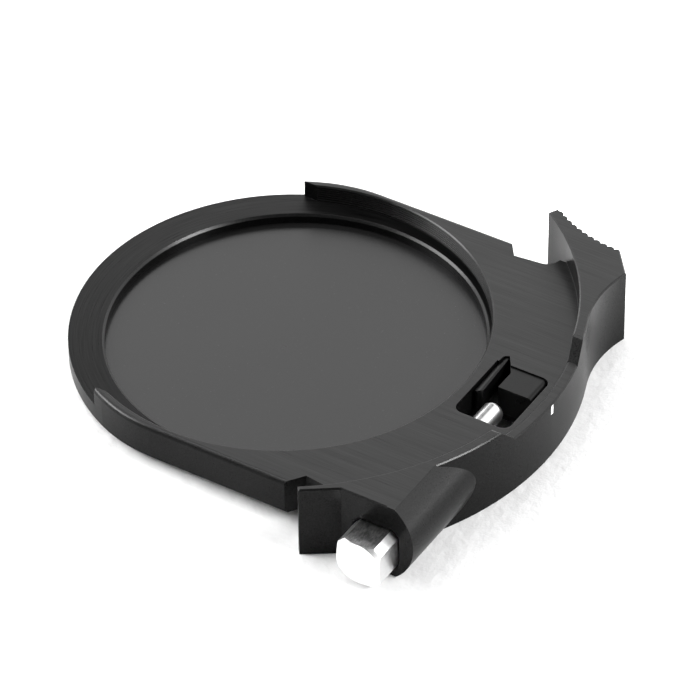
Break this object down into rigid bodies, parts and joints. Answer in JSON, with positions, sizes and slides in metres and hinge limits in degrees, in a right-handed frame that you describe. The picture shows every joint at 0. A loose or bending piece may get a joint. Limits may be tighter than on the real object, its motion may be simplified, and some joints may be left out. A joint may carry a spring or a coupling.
{
  "type": "slide-in filter tray",
  "caption": "Black slide-in filter tray with a dark round glass, a curved grip wall, a serrated ear, a sprung side button and a latch window.",
  "frame": {"origin": "where the optical axis (the centre of the glass) meets the plane of the plate's top face", "axes": "+Z along the optical axis, up out of the top face; +Y the way the tray slides in, towards the rounded end; +X from the button towards the serrated ear"},
  "size_m": [0.0636, 0.0645, 0.0107],
  "materials": {
    "black_anodised": "satin",
    "dark_glass": "gloss",
    "black_ring": "matte",
    "bright_steel": "satin",
    "spring_steel": "gloss",
    "black_insert": "satin",
    "black_screw": "satin",
    "white_mark": "matte"
  },
  "bodies": {
    "tray": {"tray_body": "black_anodised", "filter_glass": "dark_glass", "glass_retainer": "black_ring", "return_spring": "spring_steel", "stop_screw": "black_screw", "catch_insert": "black_insert", "insert_screw": "black_screw", "index_mark": "white_mark"},
    "push": {"release_button": "bright_steel", "plunger": "bright_steel"}
  },
  "joints": [
    {"name": "button_press", "type": "slide", "parent": "tray", "child": "push", "axis": [1, 0, 0], "range_m": [0, 0.0014], "stiffness_N_per_m": 600, "springref_m": -0.002, "deforming": ["return_spring"]}
  ]
}
